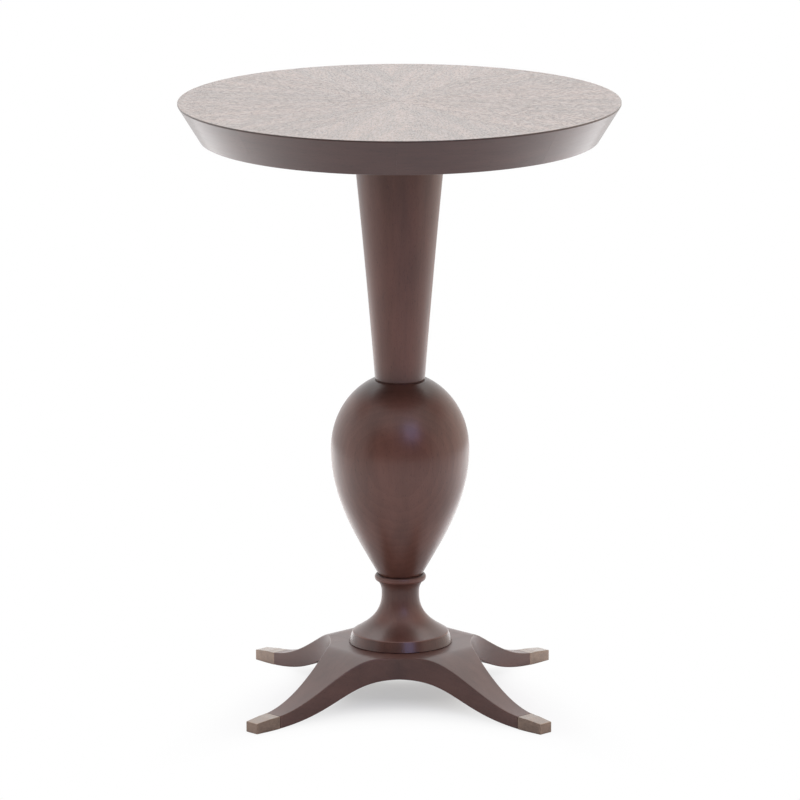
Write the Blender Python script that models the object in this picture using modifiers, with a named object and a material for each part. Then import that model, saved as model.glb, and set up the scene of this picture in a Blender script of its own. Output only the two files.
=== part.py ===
"""Round pedestal side table in dark stained hardwood.

A veneered round top with an undercut rim stands on three turned pieces, a tapered column, an urn and
a flared neck, which a steel tie rod pulls together onto four mitred, swept legs with bronze toe caps.
The model stands on the floor plane with its axis on Z, in metres, and each leg lies on a diagonal.
"""

import math

import bmesh
import bpy
from mathutils import Matrix, Vector
from mathutils.geometry import interpolate_bezier

# Overall
TABLE_HEIGHT = 0.702
FIT = 0.0003

# Top: veneer leaves on a core panel and a rim of glued segments
TOP_DIAMETER = 0.508
TOP_DEPTH = 0.0432
LEAF_COUNT = 12
LEAF_THICKNESS = 0.001
FIRST_SEAM = math.radians(4)
RIM_SEGMENT_COUNT = 8
RIM_WIDTH = 0.064
RIM_EDGE = 0.0006
RIM_UNDERCUT = 0.0255
RIM_LEDGE = 0.022
CORE_THICKNESS = 0.018

# Mounting block under the core and the screws that hold it there
BLOCK_DIAMETER = 0.180
BLOCK_WEB = 0.005
BLOCK_SCREW_COUNT = 6
BLOCK_SCREW_INSET = 0.018
BLOCK_SCREW_GRIP = 0.012
BLOCK_SCREW_DIAMETER = 0.005
BLOCK_SCREW_HEAD = 0.010

# Column
COLUMN_HEAD_DIAMETER = 0.1082
COLUMN_FOOT_DIAMETER = 0.0576
COLUMN_BOW = 0.0009
HEAD_TENON_DIAMETER = 0.040
HEAD_TENON_LENGTH = 0.006
FOOT_TENON_DIAMETER = 0.032
FOOT_TENON_LENGTH = 0.020

# Urn
URN_HEIGHT = 0.2307
URN_DIAMETER = 0.1602
URN_BELLY_HEIGHT = 0.1485
URN_SEAT_LAND = 0.0015
URN_FOOT_DIAMETER = 0.0516
URN_FOOT_ANGLE = math.radians(28.9)
URN_BELLY_PULL = 0.0620
URN_FOOT_PULL = 0.0447
URN_TENON_DIAMETER = 0.028
URN_TENON_LENGTH = 0.016

# Neck with its bead and plinth
NECK_HEIGHT = 0.0808
BEAD_LAND = 0.0005
BEAD_DEPTH = 0.0035
BEAD_HEIGHT = 0.0080
NECK_DIAMETER = 0.0434
NECK_WAIST_DROP = 0.0240
COVE_PULL = 0.007
COVE_ANGLE = math.radians(37)
FLARE_PULL = 0.026
FLARE_EDGE_PULL = 0.016
FLARE_EDGE_ANGLE = math.radians(31)
PLINTH_DIAMETER = 0.1200
PLINTH_HEIGHT = 0.0125
PLINTH_BEVEL = 0.0044
HUB_TENON_DIAMETER = 0.032
HUB_TENON_LENGTH = 0.012

# Tie rod, its nuts and washers
ROD_DIAMETER = 0.008
ROD_CLEARANCE = 0.001
ROD_END = 0.002
NUT_WALL = 0.0025
NUT_HEIGHT = 0.0065
WASHER_DIAMETER = 0.024
WASHER_THICKNESS = 0.002
POCKET_CLEARANCE = 0.002

# Legs
LEG_COUNT = 4
HUB_GROUND_CLEARANCE = 0.0402
HUB_THICKNESS = 0.0252
HUB_WAIST = 0.0818
LEG_REACH = 0.2375
FOOT_WIDTH = 0.0180
LEG_SIDE_PULL = 0.0478
FOOT_SIDE_PULL = 0.1129
FOOT_SIDE_TAPER = math.radians(3.7)
LEG_SHOULDER = 0.0745
SHOULDER_PULL = 0.0341
TOE_PULL = 0.0610
TOE_LENGTH = 0.0215
TOE_HEEL_HEIGHT = 0.0146
TOE_HEIGHT = 0.0123
ARCH_SPRING = 0.0520
ARCH_PULL = 0.0600
SOLE_PULL = 0.1040
SOLE_LENGTH = 0.0140

# Loose tongues in the mitres between the legs
TONGUE_WIDTH = 0.024
TONGUE_THICKNESS = 0.006
TONGUE_MARGIN = 0.008

# Steel plate let into the underside of the hub
PLATE_DIAMETER = 0.090
PLATE_THICKNESS = 0.003
PLATE_SCREW_INSET = 0.013
PLATE_SCREW_LENGTH = 0.014
PLATE_SCREW_DIAMETER = 0.004
PLATE_SCREW_HEAD = 0.0075

# Toe caps and their pins
CAP_LENGTH = 0.0345
CAP_WALL = 0.002
CAP_END_WALL = 0.004
PIN_LENGTH = 0.008
PIN_DIAMETER = 0.0026
PIN_HEAD = 0.005
PIN_RECESS = 0.0006

# How finely round shapes are divided
TURN_SIDES = 40
ARC_STEP = math.radians(3.75)
SMALL_SIDES = 12
COLUMN_STEPS = 5
SHOULDER_STEPS = 8
FLANK_STEPS = 9
BEAD_STEPS = 6
COVE_STEPS = 5
FLARE_STEPS = 9
LEG_STEPS = 14
SMOOTH_BELOW = math.radians(30)
WELD = 0.00001

# How far a cutter runs past what it cuts
PAST = 0.010

# Levels, from the floor up
hub_under = HUB_GROUND_CLEARANCE
hub_top = hub_under + HUB_THICKNESS
neck_seat = hub_top + FIT
neck_top = neck_seat + NECK_HEIGHT
urn_seat = neck_top + FIT
urn_top = urn_seat + URN_HEIGHT
column_seat = urn_top + FIT
core_top = TABLE_HEIGHT - LEAF_THICKNESS - FIT
core_under = core_top - CORE_THICKNESS
block_top = core_under - FIT
pocket_depth = WASHER_THICKNESS + NUT_HEIGHT + ROD_END + 3 * FIT
block_thickness = HEAD_TENON_LENGTH + FIT + BLOCK_WEB + pocket_depth
block_under = block_top - block_thickness
column_length = block_under - FIT - column_seat
rim_under = TABLE_HEIGHT - TOP_DEPTH
rod_bore = ROD_DIAMETER / 2 + ROD_CLEARANCE
core_radius = TOP_DIAMETER / 2 - RIM_WIDTH
mitre = math.pi / LEG_COUNT


for old in list(bpy.data.objects):
    bpy.data.objects.remove(old, do_unlink=True)

table = bpy.data.collections.new("side_table")
cutters = bpy.data.collections.new("side_table_cutters")
bpy.context.scene.collection.children.link(table)
bpy.context.scene.collection.children.link(cutters)
axis = bpy.data.objects.new("table_axis", None)
table.objects.link(axis)


def finish(name, colour, roughness, metallic=0.0):
    """Material of one kind of piece."""
    material = bpy.data.materials.new(name)
    material.use_nodes = True
    shader = material.node_tree.nodes["Principled BSDF"]
    shader.inputs["Base Color"].default_value = (*colour, 1.0)
    shader.inputs["Roughness"].default_value = roughness
    shader.inputs["Metallic"].default_value = metallic
    return material


def place(name, mesh, material, level=0.0, turn=0.0):
    """Puts a mesh on the table's axis as one named piece."""
    piece = bpy.data.objects.new(name, mesh)
    if not mesh.materials:
        mesh.materials.append(material)
    piece.parent = axis
    piece.location.z = level
    piece.rotation_euler.z = turn
    table.objects.link(piece)
    return piece


def guide(name, mesh, level=0.0):
    """A cutter or pattern, which is no piece of the table."""
    shape = bpy.data.objects.new(name, mesh)
    shape.location.z = level
    shape.hide_render = True
    shape.display_type = "WIRE"
    cutters.objects.link(shape)
    return shape


def cut(piece, cutter, operation="DIFFERENCE"):
    """Cuts a piece with a cutter, or keeps only what both share."""
    boolean = piece.modifiers.new(cutter.name, "BOOLEAN")
    boolean.operation = operation
    boolean.object = cutter


def made_mesh(shape):
    """Mesh of a shape as its modifiers leave it, welded, with its faces outward."""
    bpy.context.view_layer.update()
    graph = bpy.context.evaluated_depsgraph_get()
    mesh = bpy.data.meshes.new_from_object(shape.evaluated_get(graph))
    mesh.transform(shape.matrix_world)
    welded = bmesh.new()
    welded.from_mesh(mesh)
    bmesh.ops.remove_doubles(welded, verts=welded.verts, dist=WELD)
    bmesh.ops.recalc_face_normals(welded, faces=welded.faces)
    welded.to_mesh(mesh)
    welded.free()
    mesh.shade_smooth()
    mesh.set_sharp_from_angle(angle=SMOOTH_BELOW)
    return mesh


def turned(profile, sides=TURN_SIDES):
    """Mesh of a turned piece: the profile runs down the outer side, and back up any bore."""
    mesh = bpy.data.meshes.new("turned_profile")
    points = [(radius, 0.0, height) for radius, height in profile]
    lines = [(i, i + 1) for i in range(len(points) - 1)]
    if profile[0][0] > 0:
        lines.append((len(points) - 1, 0))
    mesh.from_pydata(points, lines, [])
    blank = bpy.data.objects.new("turned_blank", mesh)
    bpy.context.scene.collection.objects.link(blank)
    screw = blank.modifiers.new("turn", "SCREW")
    screw.steps = sides
    screw.render_steps = sides
    screw.use_merge_vertices = True
    screw.merge_threshold = WELD
    solid = made_mesh(blank)
    bpy.data.objects.remove(blank)
    return solid


def prism(loops, thickness, frame=None):
    """Mesh of a flat outline with any holes, its thickness centred on the outline's plane."""
    outline = bpy.data.curves.new("outline", "CURVE")
    outline.dimensions = "2D"
    outline.fill_mode = "BOTH"
    outline.extrude = thickness / 2
    for loop in loops:
        spline = outline.splines.new("POLY")
        spline.points.add(len(loop) - 1)
        for point, (x, y) in zip(spline.points, loop):
            point.co = (x, y, 0.0, 1.0)
        spline.use_cyclic_u = True
    blank = bpy.data.objects.new("outline_blank", outline)
    bpy.context.scene.collection.objects.link(blank)
    if frame is not None:
        blank.matrix_world = frame
    solid = made_mesh(blank)
    bpy.data.objects.remove(blank)
    return solid


def swept_round(profile, angle):
    """Mesh of a closed section carried part of the way round the axis from +X."""
    shape = bmesh.new()
    corners = [shape.verts.new((radius, 0.0, height)) for radius, height in profile]
    shape.faces.new(corners)
    section = shape.verts[:] + shape.edges[:] + shape.faces[:]
    steps = max(1, round(angle / ARC_STEP))
    bmesh.ops.spin(shape, geom=section, cent=(0, 0, 0), axis=(0, 0, 1), angle=angle, steps=steps)
    bmesh.ops.recalc_face_normals(shape, faces=shape.faces)
    mesh = bpy.data.meshes.new("swept_round")
    shape.to_mesh(mesh)
    shape.free()
    mesh.shade_smooth()
    mesh.set_sharp_from_angle(angle=SMOOTH_BELOW)
    return mesh


def box(low, high, turn=0.0):
    """Mesh of a block between two corners, then turned about the axis."""
    low, high = Vector(low), Vector(high)
    shape = bmesh.new()
    bmesh.ops.create_cube(shape, size=1.0)
    bmesh.ops.scale(shape, vec=high - low, verts=shape.verts)
    bmesh.ops.translate(shape, vec=(low + high) / 2, verts=shape.verts)
    bmesh.ops.rotate(shape, matrix=Matrix.Rotation(turn, 3, "Z"), verts=shape.verts)
    mesh = bpy.data.meshes.new("block")
    shape.to_mesh(mesh)
    shape.free()
    return mesh


def circle(radius, sides):
    """Points round a circle, counter-clockwise from +X."""
    angles = [2 * math.pi * i / sides for i in range(sides)]
    return [(radius * math.cos(a), radius * math.sin(a)) for a in angles]


def sweep(start, start_pull, end_pull, end, steps=LEG_STEPS):
    """Points along a smooth curve whose ends are drawn out by two pull vectors."""
    start, end = Vector(start), Vector(end)
    return [tuple(p) for p in interpolate_bezier(
        start, start + Vector(start_pull), end + Vector(end_pull), end, steps)]


def level_at(line, distance):
    """Height of a line of points at a distance along it."""
    for (near, near_level), (far, far_level) in zip(line, line[1:]):
        if distance <= far:
            return near_level + (far_level - near_level) * (distance - near) / (far - near)
    return line[-1][1]


def screw_profile(length, shank, head):
    """Countersunk screw standing on its head."""
    return [
        (0.0, length),
        (shank / 4, length),
        (shank / 2, length - shank),
        (shank / 2, (head - shank) / 2),
        (head / 2, 0.0),
        (0.0, 0.0),
    ]


def hole_profile(length, shank, head):
    """Hole for such a screw, a fit larger all round and carried on below the head."""
    return [
        (0.0, length + FIT),
        (shank / 2 + FIT, length + FIT),
        (shank / 2 + FIT, (head - shank) / 2),
        (head / 2 + FIT, 0.0),
        (head / 2 + FIT, -PAST),
        (0.0, -PAST),
    ]


# Finishes, in linear colour
veneer = finish("top_veneer_walnut", (0.105, 0.068, 0.056), 0.42)
rim_wood = finish("rim_walnut", (0.088, 0.054, 0.046), 0.35)
core_board = finish("core_board", (0.045, 0.023, 0.018), 0.60)
block_wood = finish("block_hardwood", (0.051, 0.025, 0.019), 0.55)
column_wood = finish("column_walnut", (0.090, 0.052, 0.044), 0.35)
urn_wood = finish("urn_walnut", (0.086, 0.049, 0.041), 0.33)
neck_wood = finish("neck_walnut", (0.086, 0.049, 0.041), 0.33)
leg_wood = finish("leg_walnut", (0.092, 0.056, 0.048), 0.37)
tongue_wood = finish("tongue_plywood", (0.50, 0.37, 0.22), 0.70)
bronze = finish("toe_cap_bronze", (0.190, 0.145, 0.112), 0.42, 0.9)
steel = finish("fixing_steel", (0.56, 0.56, 0.57), 0.35, 1.0)


# Veneer leaves, each a sector laid point to the middle
def leaf_outline():
    """One sector with half a gap taken off each straight edge."""
    sector = 2 * math.pi / LEAF_COUNT
    radius = TOP_DIAMETER / 2
    inset = math.asin(FIT / 2 / radius)
    point = FIT / 2 / math.sin(sector / 2)
    steps = max(2, round(sector / ARC_STEP))
    angles = [inset - sector / 2 + (sector - 2 * inset) * i / steps for i in range(steps + 1)]
    return [(point, 0.0)] + [(radius * math.cos(a), radius * math.sin(a)) for a in angles]


leaf = prism([leaf_outline()], LEAF_THICKNESS)
for i in range(LEAF_COUNT):
    leaf_turn = FIRST_SEAM + 2 * math.pi * (i + 0.5) / LEAF_COUNT
    place(f"veneer_leaf_{i + 1}", leaf, veneer, TABLE_HEIGHT - LEAF_THICKNESS / 2, leaf_turn)

# Rim segments, with the outer face undercut and a ledge for the core inside
rim_outer = TOP_DIAMETER / 2
rim_inner = core_radius - RIM_LEDGE
rim_wall = core_radius + FIT
rim_height = core_top - rim_under
ledge_height = core_under - FIT - rim_under
rim_section = [
    (rim_outer, rim_height),
    (rim_outer, rim_height - RIM_EDGE),
    (rim_outer - RIM_UNDERCUT, 0.0),
    (rim_inner, 0.0),
    (rim_inner, ledge_height),
    (rim_wall, ledge_height),
    (rim_wall, rim_height),
]
rim_gap = FIT / rim_inner
rim_angle = 2 * math.pi / RIM_SEGMENT_COUNT
segment = swept_round(rim_section, rim_angle - rim_gap)
for i in range(RIM_SEGMENT_COUNT):
    place(f"rim_segment_{i + 1}", segment, rim_wood, rim_under, i * rim_angle + rim_gap / 2)

# Core panel, drilled from below for the block's screws
core_sides = round(2 * math.pi / ARC_STEP)
core = place("core_panel", prism([circle(core_radius, core_sides)], CORE_THICKNESS),
             core_board, core_under + CORE_THICKNESS / 2)

# Mounting block, bored for the column's tenon below and for the nut above
head_socket = HEAD_TENON_DIAMETER / 2 + FIT
pocket = WASHER_DIAMETER / 2 + POCKET_CLEARANCE
socket_depth = HEAD_TENON_LENGTH + FIT
block = place("mounting_block", turned([
    (pocket, block_thickness),
    (BLOCK_DIAMETER / 2, block_thickness),
    (BLOCK_DIAMETER / 2, 0.0),
    (head_socket, 0.0),
    (head_socket, socket_depth),
    (rod_bore, socket_depth),
    (rod_bore, block_thickness - pocket_depth),
    (pocket, block_thickness - pocket_depth),
]), block_wood, block_under)

# Screws up through the block into the core
screw_length = block_thickness + FIT + BLOCK_SCREW_GRIP
screw_sizes = (screw_length, BLOCK_SCREW_DIAMETER, BLOCK_SCREW_HEAD)
screw_spots = circle(BLOCK_DIAMETER / 2 - BLOCK_SCREW_INSET, BLOCK_SCREW_COUNT)
block_screw = turned(screw_profile(*screw_sizes), SMALL_SIDES)
block_hole = turned(hole_profile(*screw_sizes), SMALL_SIDES)
for i, (x, y) in enumerate(screw_spots):
    screw = place(f"block_screw_{i + 1}", block_screw, steel, block_under)
    hole = guide(f"block_screw_hole_{i + 1}", block_hole, block_under)
    screw.location.xy = (x, y)
    hole.location.xy = (x, y)
    cut(block, hole)
    cut(core, hole)


# Column, a slightly hollow taper with a tenon at each end
def column_line():
    """Outer side of the column from head to foot."""
    head, foot = COLUMN_HEAD_DIAMETER / 2, COLUMN_FOOT_DIAMETER / 2
    line = []
    for i in range(COLUMN_STEPS + 1):
        down = i / COLUMN_STEPS
        bow = 4 * COLUMN_BOW * down * (1 - down)
        line.append((head + (foot - head) * down - bow, column_length * (1 - down)))
    return line


head_tenon = HEAD_TENON_DIAMETER / 2
foot_tenon = FOOT_TENON_DIAMETER / 2
place("column", turned([
    (head_tenon, column_length + HEAD_TENON_LENGTH),
    (head_tenon, column_length),
    *column_line(),
    (foot_tenon, 0.0),
    (foot_tenon, -FOOT_TENON_LENGTH),
    (rod_bore, -FOOT_TENON_LENGTH),
    (rod_bore, column_length + HEAD_TENON_LENGTH),
]), column_wood, column_seat)


# Urn, round at the shoulder and drawn in to a straight foot
def shoulder_line():
    """Elliptical shoulder from the column's seat down to the belly."""
    belly = URN_DIAMETER / 2
    seat = COLUMN_FOOT_DIAMETER / 2 + URN_SEAT_LAND
    rise = (URN_HEIGHT - URN_BELLY_HEIGHT) / math.sqrt(1 - (seat / belly) ** 2)
    start = math.asin(seat / belly)
    arc = (math.pi / 2 - start) / SHOULDER_STEPS
    angles = [start + arc * i for i in range(SHOULDER_STEPS + 1)]
    return [(belly * math.sin(a), URN_BELLY_HEIGHT + rise * math.cos(a)) for a in angles]


flank_line = sweep(
    (URN_DIAMETER / 2, URN_BELLY_HEIGHT),
    (0.0, -URN_BELLY_PULL),
    (URN_FOOT_PULL * math.sin(URN_FOOT_ANGLE), URN_FOOT_PULL * math.cos(URN_FOOT_ANGLE)),
    (URN_FOOT_DIAMETER / 2, 0.0),
    FLANK_STEPS,
)
urn_socket = foot_tenon + FIT
urn_floor = URN_HEIGHT - FOOT_TENON_LENGTH - FIT
urn_tenon = URN_TENON_DIAMETER / 2
place("urn", turned([
    (urn_socket, URN_HEIGHT),
    *shoulder_line()[:-1],
    *flank_line,
    (urn_tenon, 0.0),
    (urn_tenon, -URN_TENON_LENGTH),
    (rod_bore, -URN_TENON_LENGTH),
    (rod_bore, urn_floor),
    (urn_socket, urn_floor),
]), urn_wood, urn_seat)


# Neck: bead, cove, flare and plinth turned in one piece
bead_root = URN_FOOT_DIAMETER / 2 + BEAD_LAND


def bead_line():
    """Half-round bead at the head of the neck, from its top face down."""
    middle = NECK_HEIGHT - BEAD_HEIGHT / 2
    angles = [math.pi * i / BEAD_STEPS for i in range(BEAD_STEPS + 1)]
    return [(bead_root + BEAD_DEPTH * math.sin(a), middle + BEAD_HEIGHT / 2 * math.cos(a)) for a in angles]


waist = (NECK_DIAMETER / 2, NECK_HEIGHT - NECK_WAIST_DROP)
flare_edge = (PLINTH_DIAMETER / 2 - PLINTH_BEVEL, PLINTH_HEIGHT)
cove_line = sweep(
    (bead_root, NECK_HEIGHT - BEAD_HEIGHT),
    (-COVE_PULL * math.sin(COVE_ANGLE), -COVE_PULL * math.cos(COVE_ANGLE)),
    (0.0, COVE_PULL),
    waist,
    COVE_STEPS,
)
flare_line = sweep(
    waist,
    (0.0, -FLARE_PULL),
    (-FLARE_EDGE_PULL * math.cos(FLARE_EDGE_ANGLE), FLARE_EDGE_PULL * math.sin(FLARE_EDGE_ANGLE)),
    flare_edge,
    FLARE_STEPS,
)
neck_socket = urn_tenon + FIT
neck_floor = NECK_HEIGHT - URN_TENON_LENGTH - FIT
hub_tenon = HUB_TENON_DIAMETER / 2
place("neck_and_plinth", turned([
    (neck_socket, NECK_HEIGHT),
    *bead_line()[:-1],
    *cove_line[:-1],
    *flare_line,
    (PLINTH_DIAMETER / 2, 0.0),
    (hub_tenon, 0.0),
    (hub_tenon, -HUB_TENON_LENGTH),
    (rod_bore, -HUB_TENON_LENGTH),
    (rod_bore, neck_floor),
    (neck_socket, neck_floor),
]), neck_wood, neck_seat)

# Tie rod with a washer and nut at each end
upper_washer = block_under + block_thickness - pocket_depth + FIT
upper_nut = upper_washer + WASHER_THICKNESS + FIT
lower_washer = hub_under - FIT - WASHER_THICKNESS
lower_nut = lower_washer - FIT - NUT_HEIGHT
rod_foot = lower_nut - ROD_END
rod_length = upper_nut + NUT_HEIGHT + ROD_END - FIT - rod_foot
rod = turned([
    (0.0, rod_length),
    (ROD_DIAMETER / 2, rod_length),
    (ROD_DIAMETER / 2, 0.0),
    (0.0, 0.0),
], SMALL_SIDES * 2)
place("tie_rod", rod, steel, rod_foot)
thread_hole = circle(ROD_DIAMETER / 2 + FIT, SMALL_SIDES * 2)
washer = prism([circle(WASHER_DIAMETER / 2, SMALL_SIDES * 2), thread_hole], WASHER_THICKNESS)
nut_corner = (ROD_DIAMETER / 2 + NUT_WALL) / math.cos(math.pi / 6)
nut = prism([circle(nut_corner, 6), thread_hole], NUT_HEIGHT)
place("upper_washer", washer, steel, upper_washer + WASHER_THICKNESS / 2)
place("upper_nut", nut, steel, upper_nut + NUT_HEIGHT / 2)
place("lower_washer", washer, steel, lower_washer + WASHER_THICKNESS / 2)
place("lower_nut", nut, steel, lower_nut + NUT_HEIGHT / 2)

# Legs, sawn to a side profile and to a plan, drawn along +X from the table's axis
cap_joint = LEG_REACH - CAP_LENGTH
leg_top_line = [
    (-PAST, hub_top),
    *sweep((LEG_SHOULDER, hub_top), (SHOULDER_PULL, 0.0),
           (-TOE_PULL, 0.0), (LEG_REACH - TOE_LENGTH, TOE_HEEL_HEIGHT)),
    (LEG_REACH, TOE_HEIGHT),
    (LEG_REACH + PAST, TOE_HEIGHT),
]
leg_under_line = [
    (-PAST, hub_under),
    *sweep((ARCH_SPRING, hub_under), (ARCH_PULL, 0.0), (-SOLE_PULL, 0.0), (LEG_REACH - SOLE_LENGTH, 0.0)),
    (LEG_REACH + PAST, 0.0),
]


def leg_plan():
    """Outline of one leg seen from above, its share of the hub with half a gap off each mitre."""
    along = Vector((math.cos(mitre), math.sin(mitre)))
    across = Vector((math.sin(mitre), -math.cos(mitre)))
    side = sweep(
        along * HUB_WAIST + across * FIT / 2,
        across * LEG_SIDE_PULL,
        (-FOOT_SIDE_PULL * math.cos(FOOT_SIDE_TAPER), FOOT_SIDE_PULL * math.sin(FOOT_SIDE_TAPER)),
        (LEG_REACH, FOOT_WIDTH / 2),
    )
    point = (FIT / 2 / math.sin(mitre), 0.0)
    return [point] + [(x, -y) for x, y in side] + side[::-1]


upright = Matrix.Rotation(math.pi / 2, 4, "X")
leg_profile = guide("leg_profile", prism([leg_top_line + leg_under_line[::-1]], 4 * HUB_WAIST, upright))
plan_middle = Matrix.Translation((0.0, 0.0, hub_top / 2))
plan_mesh = prism([leg_plan()], hub_top + 2 * PAST, plan_middle)
leg_pattern = guide("leg_pattern", plan_mesh)
cap_pattern = guide("toe_cap_pattern", plan_mesh.copy())
cut(leg_pattern, leg_profile, "INTERSECT")
cut(cap_pattern, leg_profile, "INTERSECT")

# The hub's socket, rod hole and plate recess
plate_recess = hub_under + PLATE_THICKNESS + FIT
hub_socket = hub_tenon + FIT
hub_floor = hub_top - HUB_TENON_LENGTH - FIT
plate_edge = PLATE_DIAMETER / 2 + FIT
cut(leg_pattern, guide("hub_bores", turned([
    (0.0, hub_top + PAST),
    (hub_socket, hub_top + PAST),
    (hub_socket, hub_floor),
    (rod_bore, hub_floor),
    (rod_bore, plate_recess),
    (plate_edge, plate_recess),
    (plate_edge, hub_under - PAST),
    (0.0, hub_under - PAST),
])))

# Loose tongues across the mitres, and the slots for them
tongue_start = hub_tenon + TONGUE_MARGIN
tongue_end = HUB_WAIST - TONGUE_MARGIN
tongue_level = hub_under + HUB_THICKNESS / 2
tongue_low = Vector((tongue_start, -TONGUE_WIDTH / 2, tongue_level - TONGUE_THICKNESS / 2))
tongue_high = Vector((tongue_end, TONGUE_WIDTH / 2, tongue_level + TONGUE_THICKNESS / 2))
gap_all_round = Vector((FIT, FIT, FIT))
for side, turn in (("left", mitre), ("right", -mitre)):
    slot = box(tongue_low - gap_all_round, tongue_high + gap_all_round, turn)
    cut(leg_pattern, guide(f"tongue_slot_{side}", slot))
tongue = box(tongue_low, tongue_high)

# Screws through the plate, one into each leg
plate_screw_sizes = (PLATE_SCREW_LENGTH, PLATE_SCREW_DIAMETER, PLATE_SCREW_HEAD)
plate_screw = turned(screw_profile(*plate_screw_sizes), SMALL_SIDES)
plate_hole = turned(hole_profile(*plate_screw_sizes), SMALL_SIDES)
plate_spot = Matrix.Translation((PLATE_DIAMETER / 2 - PLATE_SCREW_INSET, 0.0, 0.0))
plate_screw.transform(plate_spot)
plate_hole.transform(plate_spot)
cut(leg_pattern, guide("plate_screw_hole", plate_hole, hub_under))

# Toe caps slip over a tenon at the end of each leg, and a pin from below holds them
tenon_end = LEG_REACH - CAP_END_WALL
tenon_half = FOOT_WIDTH / 2 - CAP_WALL - FIT
tenon_low = level_at(leg_under_line, cap_joint) + CAP_WALL + FIT
tenon_high = level_at(leg_top_line, tenon_end) - CAP_WALL - FIT
tenon_run = LEG_REACH + PAST - cap_joint
facing_out = Matrix.Translation((cap_joint + tenon_run / 2, 0.0, 0.0)) @ Matrix((
    (0, 0, 1, 0),
    (1, 0, 0, 0),
    (0, 1, 0, 0),
    (0, 0, 0, 1),
))
wide = HUB_WAIST
leg_section = [(-wide, -PAST), (wide, -PAST), (wide, hub_top), (-wide, hub_top)]
tenon_section = [
    (-tenon_half, tenon_low),
    (tenon_half, tenon_low),
    (tenon_half, tenon_high),
    (-tenon_half, tenon_high),
]
cut(leg_pattern, guide("tenon_cheeks", prism([leg_section, tenon_section], tenon_run, facing_out)))
past_toe = LEG_REACH + 2 * PAST
cut(leg_pattern, guide("tenon_end", box((tenon_end, -wide, -PAST), (past_toe, wide, hub_top))))
beyond_hub = hub_top + 2 * PAST
cut(cap_pattern, guide("cap_shoulder", box(
    (-PAST, -2 * wide, -2 * PAST),
    (cap_joint + FIT, 2 * wide, beyond_hub),
)))
cut(cap_pattern, guide("cap_socket", box(
    (cap_joint - PAST, -tenon_half - FIT, tenon_low - FIT),
    (tenon_end + FIT, tenon_half + FIT, tenon_high + FIT),
)))
pin_sizes = (PIN_LENGTH, PIN_DIAMETER, PIN_HEAD)
pin_spot = Matrix.Translation(((cap_joint + tenon_end) / 2, 0.0, 0.0))
pin = turned(screw_profile(*pin_sizes), SMALL_SIDES)
pin_hole = turned(hole_profile(*pin_sizes), SMALL_SIDES)
pin.transform(pin_spot)
pin_hole.transform(pin_spot)
pin_cutter = guide("cap_pin_hole", pin_hole, PIN_RECESS)
cut(leg_pattern, pin_cutter)
cut(cap_pattern, pin_cutter)

# The four legs with their caps, pins, screws and tongues, and the plate under the hub
plate_loops = [circle(PLATE_DIAMETER / 2, TURN_SIDES), circle(rod_bore, SMALL_SIDES * 2)]
plate = place("hub_plate", prism(plate_loops, PLATE_THICKNESS), steel, hub_under + PLATE_THICKNESS / 2)
leg = made_mesh(leg_pattern)
cap = made_mesh(cap_pattern)
for i in range(LEG_COUNT):
    leg_turn = mitre * (2 * i + 1)
    place(f"leg_{i + 1}", leg, leg_wood, 0.0, leg_turn)
    place(f"toe_cap_{i + 1}", cap, bronze, 0.0, leg_turn)
    place(f"toe_cap_pin_{i + 1}", pin, steel, PIN_RECESS, leg_turn)
    place(f"plate_screw_{i + 1}", plate_screw, steel, hub_under, leg_turn)
    place(f"mitre_tongue_{i + 1}", tongue, tongue_wood, 0.0, leg_turn - mitre)
    hole = guide(f"plate_hole_{i + 1}", plate_hole, hub_under)
    hole.rotation_euler.z = leg_turn
    cut(plate, hole)
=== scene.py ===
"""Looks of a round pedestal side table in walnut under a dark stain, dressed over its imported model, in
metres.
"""

import math

import bmesh
import bpy
import numpy as np
from mathutils import Matrix, Vector
from mathutils.geometry import interpolate_bezier


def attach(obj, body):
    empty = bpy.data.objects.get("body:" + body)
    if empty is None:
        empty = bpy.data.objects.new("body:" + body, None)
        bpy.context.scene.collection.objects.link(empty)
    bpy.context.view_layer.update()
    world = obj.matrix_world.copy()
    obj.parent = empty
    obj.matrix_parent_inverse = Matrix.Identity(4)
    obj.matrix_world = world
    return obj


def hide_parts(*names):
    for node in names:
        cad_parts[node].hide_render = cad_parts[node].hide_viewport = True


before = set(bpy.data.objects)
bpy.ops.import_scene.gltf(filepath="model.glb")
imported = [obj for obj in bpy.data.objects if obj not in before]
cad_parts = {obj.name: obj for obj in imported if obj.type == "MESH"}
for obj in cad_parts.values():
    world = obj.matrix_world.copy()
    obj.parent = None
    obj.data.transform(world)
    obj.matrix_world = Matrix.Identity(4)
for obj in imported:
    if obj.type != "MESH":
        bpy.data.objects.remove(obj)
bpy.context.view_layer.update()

# Legs
# Four lengths of walnut, sawn to a swept side profile and a hollow plan and mitred together at the hub over
# loose tongues. The arrises are eased by hand, and the wood is stained dark and lacquered to a satin.
LEG_COUNT = 4
HUB_WAIST = 0.0818
HUB_TOP = 0.0654
HUB_UNDER = 0.0402
LEG_REACH = 0.2375
CAP_JOINT = 0.2030
FOOT_WIDTH = 0.0180
LEG_SIDE_PULL = 0.0478
FOOT_SIDE_PULL = 0.1129
FOOT_SIDE_TAPER = math.radians(3.7)
LEG_SHOULDER = 0.0745
SHOULDER_PULL = 0.0341
TOE_HEEL = (0.2160, 0.0146)
TOE_PULL = 0.0610
TOE_HEIGHT = 0.0123
ARCH_SPRING = 0.0520
ARCH_PULL = 0.0600
SOLE_START = 0.2235
SOLE_PULL = 0.1040
LEG_ARRIS = 0.0014
MITRE_GUARD = 0.012
PLATE_RECESS_RADIUS = 0.0453
PLATE_RECESS_DEPTH = 0.0033
LEG_BOARD_STEP = 0.37
mitre = math.pi / LEG_COUNT
lengthwise = Vector((1.0, 0.0, 0.0))


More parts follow.
